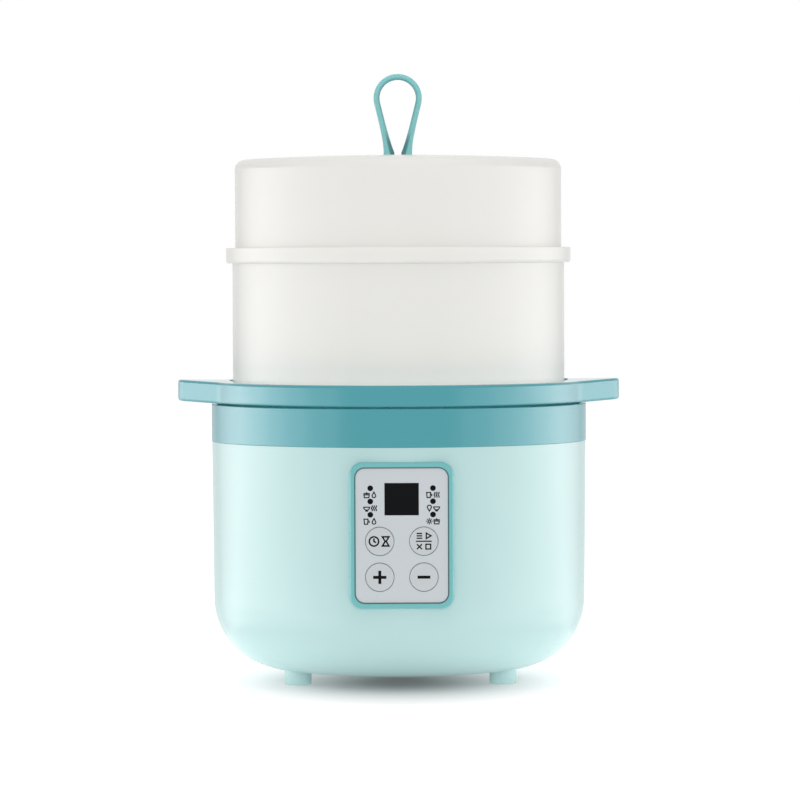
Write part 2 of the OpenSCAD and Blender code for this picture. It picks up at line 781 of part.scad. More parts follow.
module timer_button() {
  color([0.84, 0.86, 0.87]) button_at(button_spots[0]);
}

module timer_plunger() {
  color([0.15, 0.15, 0.16]) plunger_at(button_spots[0]);
}

module function_button() {
  color([0.84, 0.86, 0.87]) button_at(button_spots[1]);
}

module function_plunger() {
  color([0.15, 0.15, 0.16]) plunger_at(button_spots[1]);
}

module plus_button() {
  color([0.84, 0.86, 0.87]) button_at(button_spots[2]);
}

module plus_plunger() {
  color([0.15, 0.15, 0.16]) plunger_at(button_spots[2]);
}

module minus_button() {
  color([0.84, 0.86, 0.87]) button_at(button_spots[3]);
}

module minus_plunger() {
  color([0.15, 0.15, 0.16]) plunger_at(button_spots[3]);
}

// Screws and leads

// Three countersunk screws of the base cover
module base_cover_screws() {
  color([0.70, 0.70, 0.71]) round_axis(3, lug_r, 60) difference() {
    union() {
      translate([0, 0, leg_h + 0.25]) cylinder(r1 = 3, r2 = 1.4, h = 1.6);
      translate([0, 0, leg_h + 1]) cylinder(r = 1.4, h = 7);
    }
    block(-1.8, 1.8, -0.35, 0.35, leg_h, leg_h + 0.9);
    block(-0.35, 0.35, -1.8, 1.8, leg_h, leg_h + 0.9);
  }
}

// Three long screws from the floor into the heating plate
module heater_screws() {
  color([0.70, 0.70, 0.71]) round_axis(3, post_r, 0) difference() {
    union() {
      translate([0, 0, leg_h + 0.4]) cylinder(r = 3.1, h = 1.6);
      translate([0, 0, leg_h + 1]) cylinder(r = 1.9, h = heater_boss_z + 6 - leg_h - 1);
    }
    block(-1.9, 1.9, -0.4, 0.4, leg_h, leg_h + 1.2);
    block(-0.4, 0.4, -1.9, 1.9, leg_h, leg_h + 1.2);
  }
}

// Four screws of the power board
module power_board_screws() {
  color([0.70, 0.70, 0.71]) for (x = [-post_x, post_x], y = [-post_y, post_y]) translate([x, y, 0]) {
    translate([0, 0, board_top]) cylinder(r = 2, h = 1.4);
    translate([0, 0, leg_h + 3]) cylinder(r = 1.05, h = board_top - leg_h - 2.5);
  }
}

// Four screws of the control board
module control_board_screws() {
  color([0.70, 0.70, 0.71]) for (x = [-screw_x, screw_x], y = [-screw_y, screw_y])
    on_panel(0) translate([x, y, 0]) {
      translate([0, 0, board_y - board_t - 1.4]) cylinder(r = 2, h = 1.4);
      translate([0, 0, board_y - board_t - 1]) cylinder(r = 1.1, h = board_t + screw_bite);
    }
}

// Leads from the inlet to the power board, and the earth lead with its lug on the heating plate
module mains_leads() {
  mains_run = inlet_tab - blade_y;
  color([0.55, 0.30, 0.16]) {
    for (s = [-1, 1]) lead([
      [s * pin_x, inlet_tab + lead_in, inlet_z - pin_h / 2],
      [s * pin_x, inlet_tab - lead_in, inlet_z - 0.8 * pin_h],
      [s * (pin_x - 0.2 * lead_r), inlet_tab - 3.2 * lead_in, inlet_z - 1.6 * pin_h],
      [s * (live_x + pin_x) / 2, blade_y + 0.58 * mains_run, tab_top + lead_rise],
      [s * (live_x + 0.3 * lead_r), blade_y + 0.25 * mains_run, tab_top + lead_rise],
      [s * live_x, blade_y + lead_in, tab_top + 0.1 * lead_rise],
      [s * live_x, blade_y, tab_top - lead_in]], lead_r);
    lead([[0, inlet_tab + lead_in, inlet_z + pin_h / 2], [0, inlet_tab - 2 * lead_in, inlet_z + 0.3 * pin_h],
      [0, earth_y + 5 * lead_in, heater_z - 3.3 * lead_in],
      [0, earth_y + 1.8 * lead_in, heater_z - 2.4 * lead_in],
      [0, earth_y + 0.3 * lead_in, heater_z - 0.4 * lead_in]], lead_r);
    translate([0, earth_y, heater_z - earth_t]) cylinder(r = earth_r, h = earth_t);
  }
}

// Leads from the power board to the two ends of the element
module heater_leads() {
  heater_run = element_end_y - blade_y;
  color([0.85, 0.82, 0.78]) for (s = [-1, 1]) lead([
    [s * heater_x, blade_y, tab_top - lead_in],
    [s * heater_x, blade_y + 1.4 * lead_in, tab_top + 0.4 * lead_in],
    [s * heater_x, blade_y + 0.4 * heater_run, tab_top - 0.7 * lead_in],
    [s * element_end_x, blade_y + 0.7 * heater_run, element_end_z - 2.5 * lead_r],
    [s * element_end_x, element_end_y - 0.8 * lead_r, element_end_z - 2.8 * lead_r],
    [s * element_end_x, element_end_y + 0.3 * lead_r, element_end_z + 0.7 * lead_r]], lead_r);
}

// Flat cable from the control board to the power board
module control_cable() {
  spots = [[board_y - board_t - 3.3, panel_z - tub_h / 2 + 4.5], [board_y - 7.5, panel_z - tub_h / 2 + 3],
    [board_y - 8.5, panel_z - tub_h / 2 - 5], [board_y - 14, leg_h + 20], [board_y - 28, leg_h + 16],
    [34, leg_h + 17], [24, leg_h + 16.5], [18.6, leg_h + 15.6], [18, board_top + header_h + 0.05]];
  p = curve(spots, 4);
  side = [for (i = [0 : len(p) - 1]) let (t = heading(p, i)) [-t[1], t[0]] * 0.5];
  color([0.75, 0.75, 0.76]) rotate([90, 0, -90]) translate([0, 0, -6]) linear_extrude(12)
    polygon(concat([for (i = [0 : len(p) - 1]) p[i] + side[i]],
      [for (i = [len(p) - 1 : -1 : 0]) p[i] - side[i]]));
}

// Lift-off stack

// Outline of the ring with its two ears, drawn in by a distance
ear_cx = ear_reach - ear_tip_r;
ear_line = body_r - ear_sink;
ear_angle = acos((ear_line - ear_tip_r) / ear_cx);
ear_run = sqrt(pow(body_r + ear_fillet_r, 2) - pow(ear_line + ear_fillet_r, 2));
ear_fx = (ear_line + ear_fillet_r) * cos(ear_angle) + ear_run * sin(ear_angle);
ear_fy = (ear_line + ear_fillet_r) * sin(ear_angle) - ear_run * cos(ear_angle);
ear_join = atan2(ear_fy, ear_fx);
ear_root = body_r * cos(ear_join);
function ring_side(e, a0) = [for (i = [1 : 43]) let (a = a0 + i * (180 - 2 * ear_join) / 44)
  (body_r - e) * [cos(a), sin(a)]];
function ring_outline(e) = concat(
  arc_points(ear_cx, 0, ear_tip_r - e, -ear_angle, ear_angle, 10),
  arc_points(ear_fx, ear_fy, ear_fillet_r + e, 180 + ear_angle, 180 + ear_join, 5),
  ring_side(e, ear_join),
  arc_points(-ear_fx, ear_fy, ear_fillet_r + e, -ear_join, -ear_angle, 5),
  arc_points(-ear_cx, 0, ear_tip_r - e, 180 - ear_angle, 180 + ear_angle, 10),
  arc_points(-ear_fx, -ear_fy, ear_fillet_r + e, ear_angle, ear_join, 5),
  ring_side(e, 180 + ear_join),
  arc_points(ear_fx, -ear_fy, ear_fillet_r + e, 180 - ear_join, 180 - ear_angle, 5));
function ear_lift(x) = ear_rise * max(0, (abs(x) - ear_root) / (ear_reach - ear_root));
function ring_row(e, z) = [for (p = ring_outline(e)) [p[0], p[1], z + ear_lift(p[0])]];
function hub_row(z) = [for (p = ring_outline(0)) [p[0] / 2, p[1] / 2, z]];

// Ring with rounded edges, a seat for the tier, a ledge for the pot and steam slots
module carry_ring() {
  steps = 5;
  e = ring_edge;
  color([0.36, 0.62, 0.66]) difference() {
    union() {
      skin(concat(
        [hub_row(ring_z)],
        [for (a = [0 : 90 / steps : 90]) ring_row(e * (1 - sin(a)), ring_z + e * (1 - cos(a)))],
        [for (a = [0 : 90 / steps : 90]) ring_row(e * (1 - cos(a)), ring_top - e * (1 - sin(a)))],
        [hub_row(ring_top)]));
      tube(ring_fit_r, recess_r - 1, flange_top, ring_z + 1);
    }
    translate([0, 0, ring_z - 1]) cylinder(r = ring_bore, h = ring_h + 2);
    translate([0, 0, pot_seat_z]) cylinder(r = pot_flange_r + 0.6, h = ring_h);
    translate([0, 0, tier_z]) cylinder(r = recess_r, h = ring_h);
    for (i = [0 : 7]) rotate(i * 45 + 8) translate([0, 0, ring_z - 1]) rotate_extrude(angle = 29)
      translate([pot_flange_r + 2, 0]) square([5, ring_h]);
  }
}

// Ceramic pot that hangs in the ring
module inner_pot() {
  foot = pot_r - pot_corner;
  color([0.95, 0.94, 0.91]) rotate_extrude() difference() {
    union() {
      cup_region(pot_r, pot_z, pot_corner, pot_top, 0);
      translate([0, pot_seat_z]) square([pot_flange_r, pot_flange_t]);
    }
    cup_region(pot_r - pot_wall, pot_z + pot_wall + 1, pot_corner - pot_wall, pot_top + 1, 0);
    translate([0, pot_z - 1]) square([foot - 5, 2]);
    edge_cut(pot_flange_r, pot_top, 1, 1, 1);
    edge_cut(pot_flange_r, pot_seat_z, 0.8, 1, -1);
  }
}

// Lid of the pot with a flat knob
module pot_lid() {
  plug = pot_r - pot_wall - 0.9;
  color([0.95, 0.94, 0.91]) rotate_extrude() difference() {
    union() {
      translate([0, pot_top]) square([lid_r, pot_lid_t]);
      translate([plug - 3, pot_top - 3.5]) square([3, 4]);
      translate([0, lid_top - 1]) square([6.5, knob_h]);
      translate([0, lid_top + knob_h - 3.5]) square([10, 3.5]);
    }
    edge_cut(lid_r, lid_top, 1.2, 1, 1);
    edge_cut(10, lid_top + knob_h, 1.2, 1, 1);
    edge_cut(10, lid_top + knob_h - 3.5, 1, 1, -1);
  }
}

// Translucent tube with a foot in the ring and a ledge for the tray
module steam_tier() {
  color([0.93, 0.93, 0.91, 0.7]) rotate_extrude() difference() {
    polygon([
      [tier_r - 3.7, tier_z], [tier_r, tier_z], [tier_r, tier_top], [tier_in, tier_top], [tier_in, tray_z],
      [tier_in - 4, tray_z], [tier_in - 4, tray_seat], [tier_in, tray_seat - 1.5], [tier_in, tier_z + 3.5],
      [tier_r - 3.7, tier_z + 2]
    ]);
    edge_cut(tier_r, tier_z, 0.6, 1, -1);
    edge_cut(tier_r, tier_top, 0.4, 1, 1);
  }
}

// Perforated tray on the ledge
module steam_tray() {
  color([0.92, 0.92, 0.90, 0.8]) difference() {
    union() {
      translate([0, 0, tray_z]) cylinder(r = tray_r, h = 2);
      tube(tray_r, tray_r - 2, tray_z, tray_z + 4.5);
    }
    for (k = [1 : 4], i = [0 : 6 * k - 1]) rotate(i * 60 / k + k * 7)
      translate([k * (tray_r - 12) / 4, 0, tray_z - 1]) cylinder(r = 2.5, h = 4);
  }
}

// Half section under a shallow dome whose middle lies at a height
module dome_region(top) {
  intersection() {
    translate([0, top - dome_r]) circle(dome_r);
    translate([0, top - cover_rise - 1]) square([cover_flat_r, cover_rise + 2]);
  }
}

// Cover: dome, thick band over the tier and a skirt inside it
module steam_cover() {
  edge_z = cover_top - cover_rise;
  edge_in = edge_z - cover_wall;
  color([0.94, 0.94, 0.92, 0.7]) difference() {
    rotate_extrude() difference() {
      union() {
        translate([0, band_z]) square([band_r, band_h]);
        translate([skirt_r - cover_skirt_t, band_z - skirt_l]) square([cover_skirt_t, skirt_l + 1]);
        translate([0, band_z]) square([cover_r, edge_z - band_z]);
        dome_region(cover_top);
      }
      difference() {
        union() {
          translate([0, band_z - 1]) square([cover_r - cover_wall, edge_in - band_z + 1]);
          dome_region(cover_top - cover_wall);
        }
        edge_cut(cover_r - cover_wall, edge_in, cover_edge_r - cover_wall, 1, 1);
        translate([skirt_r - cover_skirt_t, band_z - 2]) square([cover_skirt_t + 5, band_h + 1]);
      }
      translate([tier_in - 0.4, band_z - 1]) square([tier_wall + 0.4 + move_gap, tier_top - band_z + 1]);
      edge_cut(cover_r, edge_z, cover_edge_r, 1, 1);
      edge_cut(band_r, band_z, 1.5, 1, -1);
      edge_cut(band_r, band_top, 0.4, 1, 1);
    }
    for (x = [-hole_x, hole_x])
      translate([x, 0, cover_top - cover_wall - 1]) cylinder(r = neck_r + 0.15, h = cover_wall + 2);
  }
}

// Soft loop whose two legs pass through the cover and end in barbs
function leg_row(x, z, a, b) = [for (j = [0 : 15]) [x + a * cos(j * 22.5), b * sin(j * 22.5), z]];
function arch_row(t, a, b) = [for (j = [0 : 15]) [(loop_r + a * cos(j * 22.5)) * cos(t), b * sin(j * 22.5),
  loop_cz + (loop_r + a * cos(j * 22.5)) * sin(t)]];
function flare(z) = strand_w / 2 + 1.5 * exp((cover_top - z) / 5);
function flare_d(z) = strand_d / 2 + 0.8 * exp((cover_top - z) / 5);
function leg_x(z) = lean_x - (lean_z - z) * tan(leg_lean) + root_turn * exp((cover_top - z) / 5);
function flip(rows) = [for (i = [len(rows) - 1 : -1 : 0]) [for (p = rows[i]) [-p[0], p[1], p[2]]]];

module loop_handle() {
  under = cover_top - cover_wall - 0.15;
  heights = [for (k = [0.05, 0.06, 0.13, 0.22, 0.34, 0.5, 0.72]) cover_top + k * (lean_z - cover_top)];
  barb = [leg_row(hole_x, under - 3.8, 1.4, 1.4), leg_row(hole_x, under - 3.2, 2, 2),
    leg_row(hole_x, under - 0.5, barb_r, barb_r), leg_row(hole_x, under, barb_r - 0.2, barb_r - 0.2),
    leg_row(hole_x, under + 0.02, neck_r, neck_r), leg_row(hole_x, cover_top + 0.06, neck_r, neck_r)];
  rise = [for (i = [0 : len(heights) - 1]) let (z = heights[i])
    leg_row(leg_x(z), i == 0 ? cover_top + 0.08 : z, flare(z), flare_d(z))];
  arch = [for (t = [-leg_lean : (90 + leg_lean) / 12 : 89.9]) arch_row(t, strand_w / 2, strand_d / 2)];
  top = [arch_row(90, strand_w / 2, strand_d / 2)];
  half = concat(barb, rise, arch);
  color([0.55, 0.78, 0.80]) skin(concat(half, top, flip(half)));
}

outer_housing();
collar();
base_cover();
foot_pads();
water_tank();
tank_gasket();
heating_plate();
heating_element();
heater_spacers();
temperature_sensor();
sensor_clip();
thermal_fuse();
fuse_clip();
heat_shield();
power_board();
power_relay();
filter_capacitor();
bulk_capacitor();
board_terminals();
inlet_socket();
inlet_pins();
control_board();
display_module();
tact_switches();
status_leds();
indicator_lenses();
display_window();
panel_bezel();
panel_plate();
base_cover_screws();
heater_screws();
power_board_screws();
control_board_screws();
mains_leads();
heater_leads();
control_cable();
timer_button();
timer_plunger();
function_button();
function_plunger();
plus_button();
plus_plunger();
minus_button();
minus_plunger();
carry_ring();
inner_pot();
pot_lid();
steam_tier();
steam_tray();
steam_cover();
loop_handle();
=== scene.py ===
"""Looks of the steam and stew cooker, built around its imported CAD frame."""

import math

import bmesh
import bpy
from mathutils import Matrix, Vector


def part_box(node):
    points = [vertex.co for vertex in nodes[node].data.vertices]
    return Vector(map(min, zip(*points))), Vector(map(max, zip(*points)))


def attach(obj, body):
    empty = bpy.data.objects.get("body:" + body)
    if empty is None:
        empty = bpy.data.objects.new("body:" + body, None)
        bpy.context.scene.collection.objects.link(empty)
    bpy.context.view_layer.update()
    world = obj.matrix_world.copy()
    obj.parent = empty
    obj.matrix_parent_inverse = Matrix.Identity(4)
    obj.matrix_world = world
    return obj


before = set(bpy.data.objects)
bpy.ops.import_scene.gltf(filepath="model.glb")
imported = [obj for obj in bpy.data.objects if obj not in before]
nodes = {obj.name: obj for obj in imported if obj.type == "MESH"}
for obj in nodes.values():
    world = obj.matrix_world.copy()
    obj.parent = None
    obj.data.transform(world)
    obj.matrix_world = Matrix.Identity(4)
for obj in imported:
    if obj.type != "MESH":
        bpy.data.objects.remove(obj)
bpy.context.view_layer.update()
scene = bpy.context.scene
MM = 0.001
MICRON = 0.001 * MM
WHITE = (1, 1, 1, 1)

# Camera, as the photograph was taken
CAMERA_AWAY = 2080 * MM
CAMERA_HEIGHT = 198.4 * MM
AIM_HEIGHT = 131.9 * MM
AIM_RIGHT = 0.6 * MM
CAMERA_YAW = math.radians(0.74)
CAMERA_ROLL = math.radians(-0.2)
LENS_MM = 198.05
SENSOR_MM = 36.0
CLIP_NEAR = 0.05
CLIP_FAR = 30


def make_camera():
    """Puts the camera in front of the panel, a little to its left, level with the cover's band."""
    data = bpy.data.cameras.new("camera")
    data.sensor_width = SENSOR_MM
    data.lens = LENS_MM
    data.clip_start = CLIP_NEAR
    data.clip_end = CLIP_FAR
    camera = bpy.data.objects.new("camera", data)
    scene.collection.objects.link(camera)
    away = Vector((-math.sin(CAMERA_YAW), -math.cos(CAMERA_YAW), 0)) * CAMERA_AWAY
    camera.location = away + Vector((0, 0, CAMERA_HEIGHT))
    aim = Vector((AIM_RIGHT, 0, AIM_HEIGHT)) - camera.location
    turn = aim.to_track_quat("-Z", "Y").to_matrix().to_4x4()
    camera.rotation_euler = (turn @ Matrix.Rotation(CAMERA_ROLL, 4, "Z")).to_euler()
    scene.camera = camera


# Shader nodes
# A Mix node's colour sockets by number, because its other kinds have the same names
MIX_FIRST = 6
MIX_SECOND = 7
MIX_RESULT = 2
# Most of a noise texture's factor lies between these two
NOISE_LOW = 0.3
NOISE_HIGH = 0.7


def new_material(name):
    """An empty material, with its node tree and the socket that takes its surface."""
    material = bpy.data.materials.new(name)
    material.use_nodes = True
    tree = material.node_tree
    tree.nodes.clear()
    return material, tree, tree.nodes.new("ShaderNodeOutputMaterial").inputs["Surface"]


def object_place(tree):
    """The object's own coordinates, which are those of the frame at rest."""
    return tree.nodes.new("ShaderNodeTexCoord").outputs["Object"]


def geometry(tree, output):
    """One of the outputs that tell how a face lies."""
    return tree.nodes.new("ShaderNodeNewGeometry").outputs[output]


def feed(tree, socket, value):
    """Links an input to an output socket, or sets it to plain numbers."""
    if isinstance(value, bpy.types.NodeSocket):
        tree.links.new(value, socket)
    elif value is not None:
        socket.default_value = value


def math_node(tree, operation, first, second=None):
    """The result of one operation on sockets or numbers."""
    step = tree.nodes.new("ShaderNodeMath")
    step.operation = operation
    feed(tree, step.inputs[0], first)
    feed(tree, step.inputs[1], second)
    return step.outputs[0]


def vector_node(tree, operation, first, second=None):
    """The result of one operation on vectors, each a socket or plain numbers."""
    step = tree.nodes.new("ShaderNodeVectorMath")
    step.operation = operation
    feed(tree, step.inputs[0], first)
    feed(tree, step.inputs[1], second)
    return step.outputs["Value" if operation in ("LENGTH", "DOT_PRODUCT") else "Vector"]


def split(tree, vector):
    """The three parts of a vector."""
    parts = tree.nodes.new("ShaderNodeSeparateXYZ")
    tree.links.new(vector, parts.inputs[0])
    return parts.outputs


def stretched(tree, place, scale, shift=(0, 0, 0)):
    """A place whose axes are scaled and then shifted."""
    mapping = tree.nodes.new("ShaderNodeMapping")
    mapping.inputs["Location"].default_value = shift
    mapping.inputs["Scale"].default_value = scale
    tree.links.new(place, mapping.inputs["Vector"])
    return mapping.outputs[0]


def noise(tree, place, scale, detail=2.0):
    """The factor of a noise texture."""
    texture = tree.nodes.new("ShaderNodeTexNoise")
    texture.inputs["Scale"].default_value = scale
    texture.inputs["Detail"].default_value = detail
    tree.links.new(place, texture.inputs["Vector"])
    return texture.outputs["Fac"]


def mapped(tree, kind, source, low, high, start, end):
    """A value that goes from start to end while its source goes from low to high."""
    spread = tree.nodes.new("ShaderNodeMapRange")
    spread.interpolation_type = kind
    spread.inputs["From Min"].default_value = low
    spread.inputs["From Max"].default_value = high
    spread.inputs["To Min"].default_value = start
    spread.inputs["To Max"].default_value = end
    tree.links.new(source, spread.inputs["Value"])
    return spread.outputs[0]


def ranged(tree, source, start, end):
    """A noise factor spread evenly over a range of values."""
    return mapped(tree, "LINEAR", source, NOISE_LOW, NOISE_HIGH, start, end)


def faded(tree, source, low, high, start=0.0, end=1.0):
    """A smooth change from start to end while the source goes from low to high."""
    return mapped(tree, "SMOOTHSTEP", source, low, high, start, end)


def colour_mix(tree, factor, first, second):
    """A colour between two, each a socket or plain numbers."""
    mix = tree.nodes.new("ShaderNodeMix")
    mix.data_type = "RGBA"
    tree.links.new(factor, mix.inputs["Factor"])
    feed(tree, mix.inputs[MIX_FIRST], first)
    feed(tree, mix.inputs[MIX_SECOND], second)
    return mix.outputs[MIX_RESULT]


def shader_mix(tree, factor, first, second):
    """Two shaders mixed by a factor."""
    mix = tree.nodes.new("ShaderNodeMixShader")
    tree.links.new(factor, mix.inputs["Fac"])
    tree.links.new(first, mix.inputs[1])
    tree.links.new(second, mix.inputs[2])
    return mix.outputs[0]


def seen_directly(tree):
    """A socket that is 1 for rays that show the background: camera, glossy and transmission rays."""
    path = tree.nodes.new("ShaderNodeLightPath").outputs
    straight = math_node(tree, "MAXIMUM", path["Is Camera Ray"], path["Is Glossy Ray"])
    return math_node(tree, "MAXIMUM", straight, path["Is Transmission Ray"])


# Lamps, with azimuths in degrees from the camera's side and lengths in metres
# The sheen boxes stand beside the object; each layer has its azimuth, half width and lower edge
SHEEN_LAYERS = ((98, 0.2, 0.02), (95.5, 0.38, -0.08), (92, 0.62, -0.26), (88, 1.1, -0.6))
SHEEN_AWAY = 0.8
SHEEN_STEP = 0.02
SHEEN_TOP = 0.3
# How bright each layer is on the left and on the right
SHEEN_LEFT = 1.09
SHEEN_RIGHT = 0.93
# The soft boxes light the object and show in no gleam
SOFT_BOXES = {
    "top_box": {"azimuth": 0, "away": 0.35, "height": 1.5, "aim_height": 0.1,
                "width": 1.2, "tall": 1.2, "watts": 4},
    "front_box": {"azimuth": 0, "away": 2.4, "height": 0.75, "aim_height": 0.12,
                  "width": 1.2, "tall": 0.8, "watts": 8},
}


def add_box(name, in_gloss, azimuth, away, height, aim_height, width, tall, watts):
    """A rectangular lamp that either shows in gleams only, or lights without showing in them."""
    data = bpy.data.lights.new(name, "AREA")
    data.shape = "RECTANGLE"
    data.size = width
    data.size_y = tall
    data.energy = watts
    lamp = bpy.data.objects.new(name, data)
    scene.collection.objects.link(lamp)
    turn = math.radians(azimuth)
    lamp.location = (math.sin(turn) * away, -math.cos(turn) * away, height)
    aim = Vector((0, 0, aim_height)) - lamp.location
    lamp.rotation_euler = aim.to_track_quat("-Z", "Y").to_euler()
    lamp.visible_camera = False
    lamp.visible_glossy = in_gloss
    lamp.visible_diffuse = not in_gloss
    lamp.visible_transmission = not in_gloss


def add_sheen(side, level):
    """A lamp of several layers beside the object, which fades to its edges in the gleams that show it."""
    for i, (azimuth, half, foot) in enumerate(SHEEN_LAYERS):
        tall = SHEEN_TOP - foot
        middle_height = (SHEEN_TOP + foot) / 2
        watts = level * math.pi * 2 * half * tall
        add_box(f"sheen_{side}_{i}", in_gloss=True, azimuth=side * azimuth,
                away=SHEEN_AWAY + i * SHEEN_STEP, height=middle_height, aim_height=middle_height,
                width=2 * half, tall=tall, watts=watts)


# World and floor
WORLD_FILL = 0.59
WORLD_SHOWN = 1.0


def background(tree, strength):
    """A plain white background of a strength."""
    plain = tree.nodes.new("ShaderNodeBackground")
    plain.inputs["Color"].default_value = WHITE
    plain.inputs["Strength"].default_value = strength
    return plain.outputs[0]


def make_world():
    """White where it is seen, a plain grey fill where it only lights."""
    world = bpy.data.worlds.new("studio")
    scene.world = world
    world.use_nodes = True
    tree = world.node_tree
    tree.nodes.clear()
    surface = tree.nodes.new("ShaderNodeOutputWorld").inputs["Surface"]
    fill = background(tree, WORLD_FILL)
    shown = background(tree, WORLD_SHOWN)
    tree.links.new(shader_mix(tree, seen_directly(tree), fill, shown), surface)


# The paper's own grey, and the share of its glow that is left in the middle of the painted shadow
FLOOR_TINT = (0.5, 0.51, 0.51, 1)
FLOOR_DARK = 0.075
# The painted shadow's middle lies this far to the front, and the glow comes back between two distances from
# it
FLOOR_FRONT = 0.02
FLOOR_NEAR = 0.005
FLOOR_FAR = 0.185
# Distances count for more to the sides than to the front, so the painted shadow reaches further to the front
FLOOR_ASIDE = 1.45
FLOOR_SIDES = 96
# Inner and outer radius of the two rings of floor, and how strongly each lights the object from below
FLOOR_RINGS = {"floor_near": (0, 0.13, 1.3), "floor_far": (0.13, 4.0, 0.5)}


def floor_paper(name, glow_level):
    """Pale paper lit from below: a painted shadow in its glow deepens the object's own shadow between the
    feet, and it is clear when seen from below.
    """
    material, tree, surface = new_material(name)
    paper = tree.nodes.new("ShaderNodeBsdfDiffuse")
    paper.inputs["Color"].default_value = FLOOR_TINT
    place = stretched(tree, object_place(tree), (FLOOR_ASIDE, 1, 1), (0, FLOOR_FRONT, 0))
    # Painted shadow: the glow is held low round the middle and comes back further out
    rise = faded(tree, vector_node(tree, "LENGTH", place), FLOOR_NEAR, FLOOR_FAR, start=FLOOR_DARK)
    level = tree.nodes.new("ShaderNodeMix")
    level.inputs["A"].default_value = glow_level
    level.inputs["B"].default_value = WORLD_SHOWN
    tree.links.new(seen_directly(tree), level.inputs["Factor"])
    glow = tree.nodes.new("ShaderNodeEmission")
    glow.inputs["Color"].default_value = WHITE
    tree.links.new(math_node(tree, "MULTIPLY", level.outputs["Result"], rise), glow.inputs["Strength"])
    both = tree.nodes.new("ShaderNodeAddShader")
    tree.links.new(paper.outputs[0], both.inputs[0])
    tree.links.new(glow.outputs[0], both.inputs[1])
    clear = tree.nodes.new("ShaderNodeBsdfTransparent").outputs[0]
    tree.links.new(shader_mix(tree, geometry(tree, "Backfacing"), both.outputs[0], clear), surface)
    return material


def make_floor():
    """A near disc that gleams show, and round it a wide ring that gleams look through to the lamps."""
    for name, (inner, outer, glow_level) in FLOOR_RINGS.items():
        mesh = bpy.data.meshes.new(name)
        form = bmesh.new()
        bmesh.ops.create_circle(form, cap_ends=not inner, segments=FLOOR_SIDES, radius=outer)
        if inner:
            bmesh.ops.create_circle(form, segments=FLOOR_SIDES, radius=inner)
            bmesh.ops.bridge_loops(form, edges=form.edges)
        form.normal_update()
        bmesh.ops.reverse_faces(form, faces=[face for face in form.faces if face.normal.z < 0])
        form.to_mesh(mesh)
        form.free()
        mesh.materials.append(floor_paper(name + "_paper", glow_level))
        floor = bpy.data.objects.new(name, mesh)
        scene.collection.objects.link(floor)
        floor.visible_glossy = not inner
        floor.visible_shadow = False


# Kinds of material
def shader(name):
    """A new material with its node tree, its Principled shader and its place socket."""
    material, tree, surface = new_material(name)
    main = tree.nodes.new("ShaderNodeBsdfPrincipled")
    tree.links.new(main.outputs[0], surface)
    return material, tree, main, object_place(tree)


def shaded(tree, source, colour, part):
    """A colour that varies round the given one by a small part."""
    darker = [*(c * (1 - part) for c in colour), 1]
    lighter = [*(min(1, c * (1 + part)) for c in colour), 1]
    return colour_mix(tree, source, darker, lighter)


def bumped(tree, main, source, height, strength=1.0):
    """Raises the surface by a factor times a height in metres."""
    bump = tree.nodes.new("ShaderNodeBump")
    bump.inputs["Distance"].default_value = height
    bump.inputs["Strength"].default_value = strength
    tree.links.new(source, bump.inputs["Height"])
    tree.links.new(bump.outputs[0], main.inputs["Normal"])


def settings(main, values):
    """Sets plain numbers and colours on the shader's own sockets."""
    for socket, value in values.items():
        main.inputs[socket].default_value = value


# Noise scales of the drift of colour and of the gloss, and how far the roughness goes up and down
PLASTIC_DRIFT = 28
PLASTIC_GLOSS = 420
GLOSS_SPREAD = 0.03
PLASTIC_IOR = 1.5


def moulded(name, colour, rough, grain=2600, depth=2 * MICRON, vary=0.02, **values):
    """Injection moulded plastic: a fine grain, drifting gloss and a faint drift of colour."""
    material, tree, main, place = shader(name)
    drift = noise(tree, place, PLASTIC_DRIFT)
    tree.links.new(shaded(tree, drift, colour, vary), main.inputs["Base Color"])
    gloss = noise(tree, place, PLASTIC_GLOSS, detail=3)
    tree.links.new(ranged(tree, gloss, rough - GLOSS_SPREAD, rough + GLOSS_SPREAD), main.inputs["Roughness"])
    bumped(tree, main, noise(tree, place, grain, detail=1), depth)
    settings(main, {"IOR": PLASTIC_IOR, **values})
    return material


def metal(name, colour, rough, stretch=(1, 1, 1), scale=900, depth=8 * MICRON, vary=0.05, uneven=0.08):
    """Bare metal with the lines or pits of how it was worked."""
    material, tree, main, place = shader(name)
    marks = noise(tree, stretched(tree, place, stretch), scale, detail=3)
    tree.links.new(shaded(tree, marks, colour, vary), main.inputs["Base Color"])
    tree.links.new(ranged(tree, marks, rough - uneven, rough + uneven), main.inputs["Roughness"])
    bumped(tree, main, marks, depth)
    settings(main, {"Metallic": 1.0})
    return material


# The pot and its lid: colour, lowest and highest roughness, then what the glaze shows
POT_COLOUR = (0.8, 0.79, 0.75)
POT_ROUGH = (0.12, 0.2)
POT_DRIFT = 60
SPECK_SCALE = 900
SPECK_RANGE = (-0.6, 1.0)
SPECK_PART = 0.03
RIPPLE_SCALE = 120
RIPPLE_DEPTH = 40 * MICRON
RIPPLE_STRENGTH = 0.4
GLAZE = {"Coat Weight": 0.6, "Coat Roughness": 0.06, "IOR": 1.52}


def glazed(name):
    """Glazed ceramic: a soft ripple in the glaze, faint specks and a clear coat."""
    material, tree, main, place = shader(name)
    specks = ranged(tree, noise(tree, place, SPECK_SCALE, detail=1), *SPECK_RANGE)
    tree.links.new(shaded(tree, specks, POT_COLOUR, SPECK_PART), main.inputs["Base Color"])
    tree.links.new(ranged(tree, noise(tree, place, POT_DRIFT), *POT_ROUGH), main.inputs["Roughness"])
    bumped(tree, main, noise(tree, place, RIPPLE_SCALE), RIPPLE_DEPTH, RIPPLE_STRENGTH)
    settings(main, GLAZE)
    return material


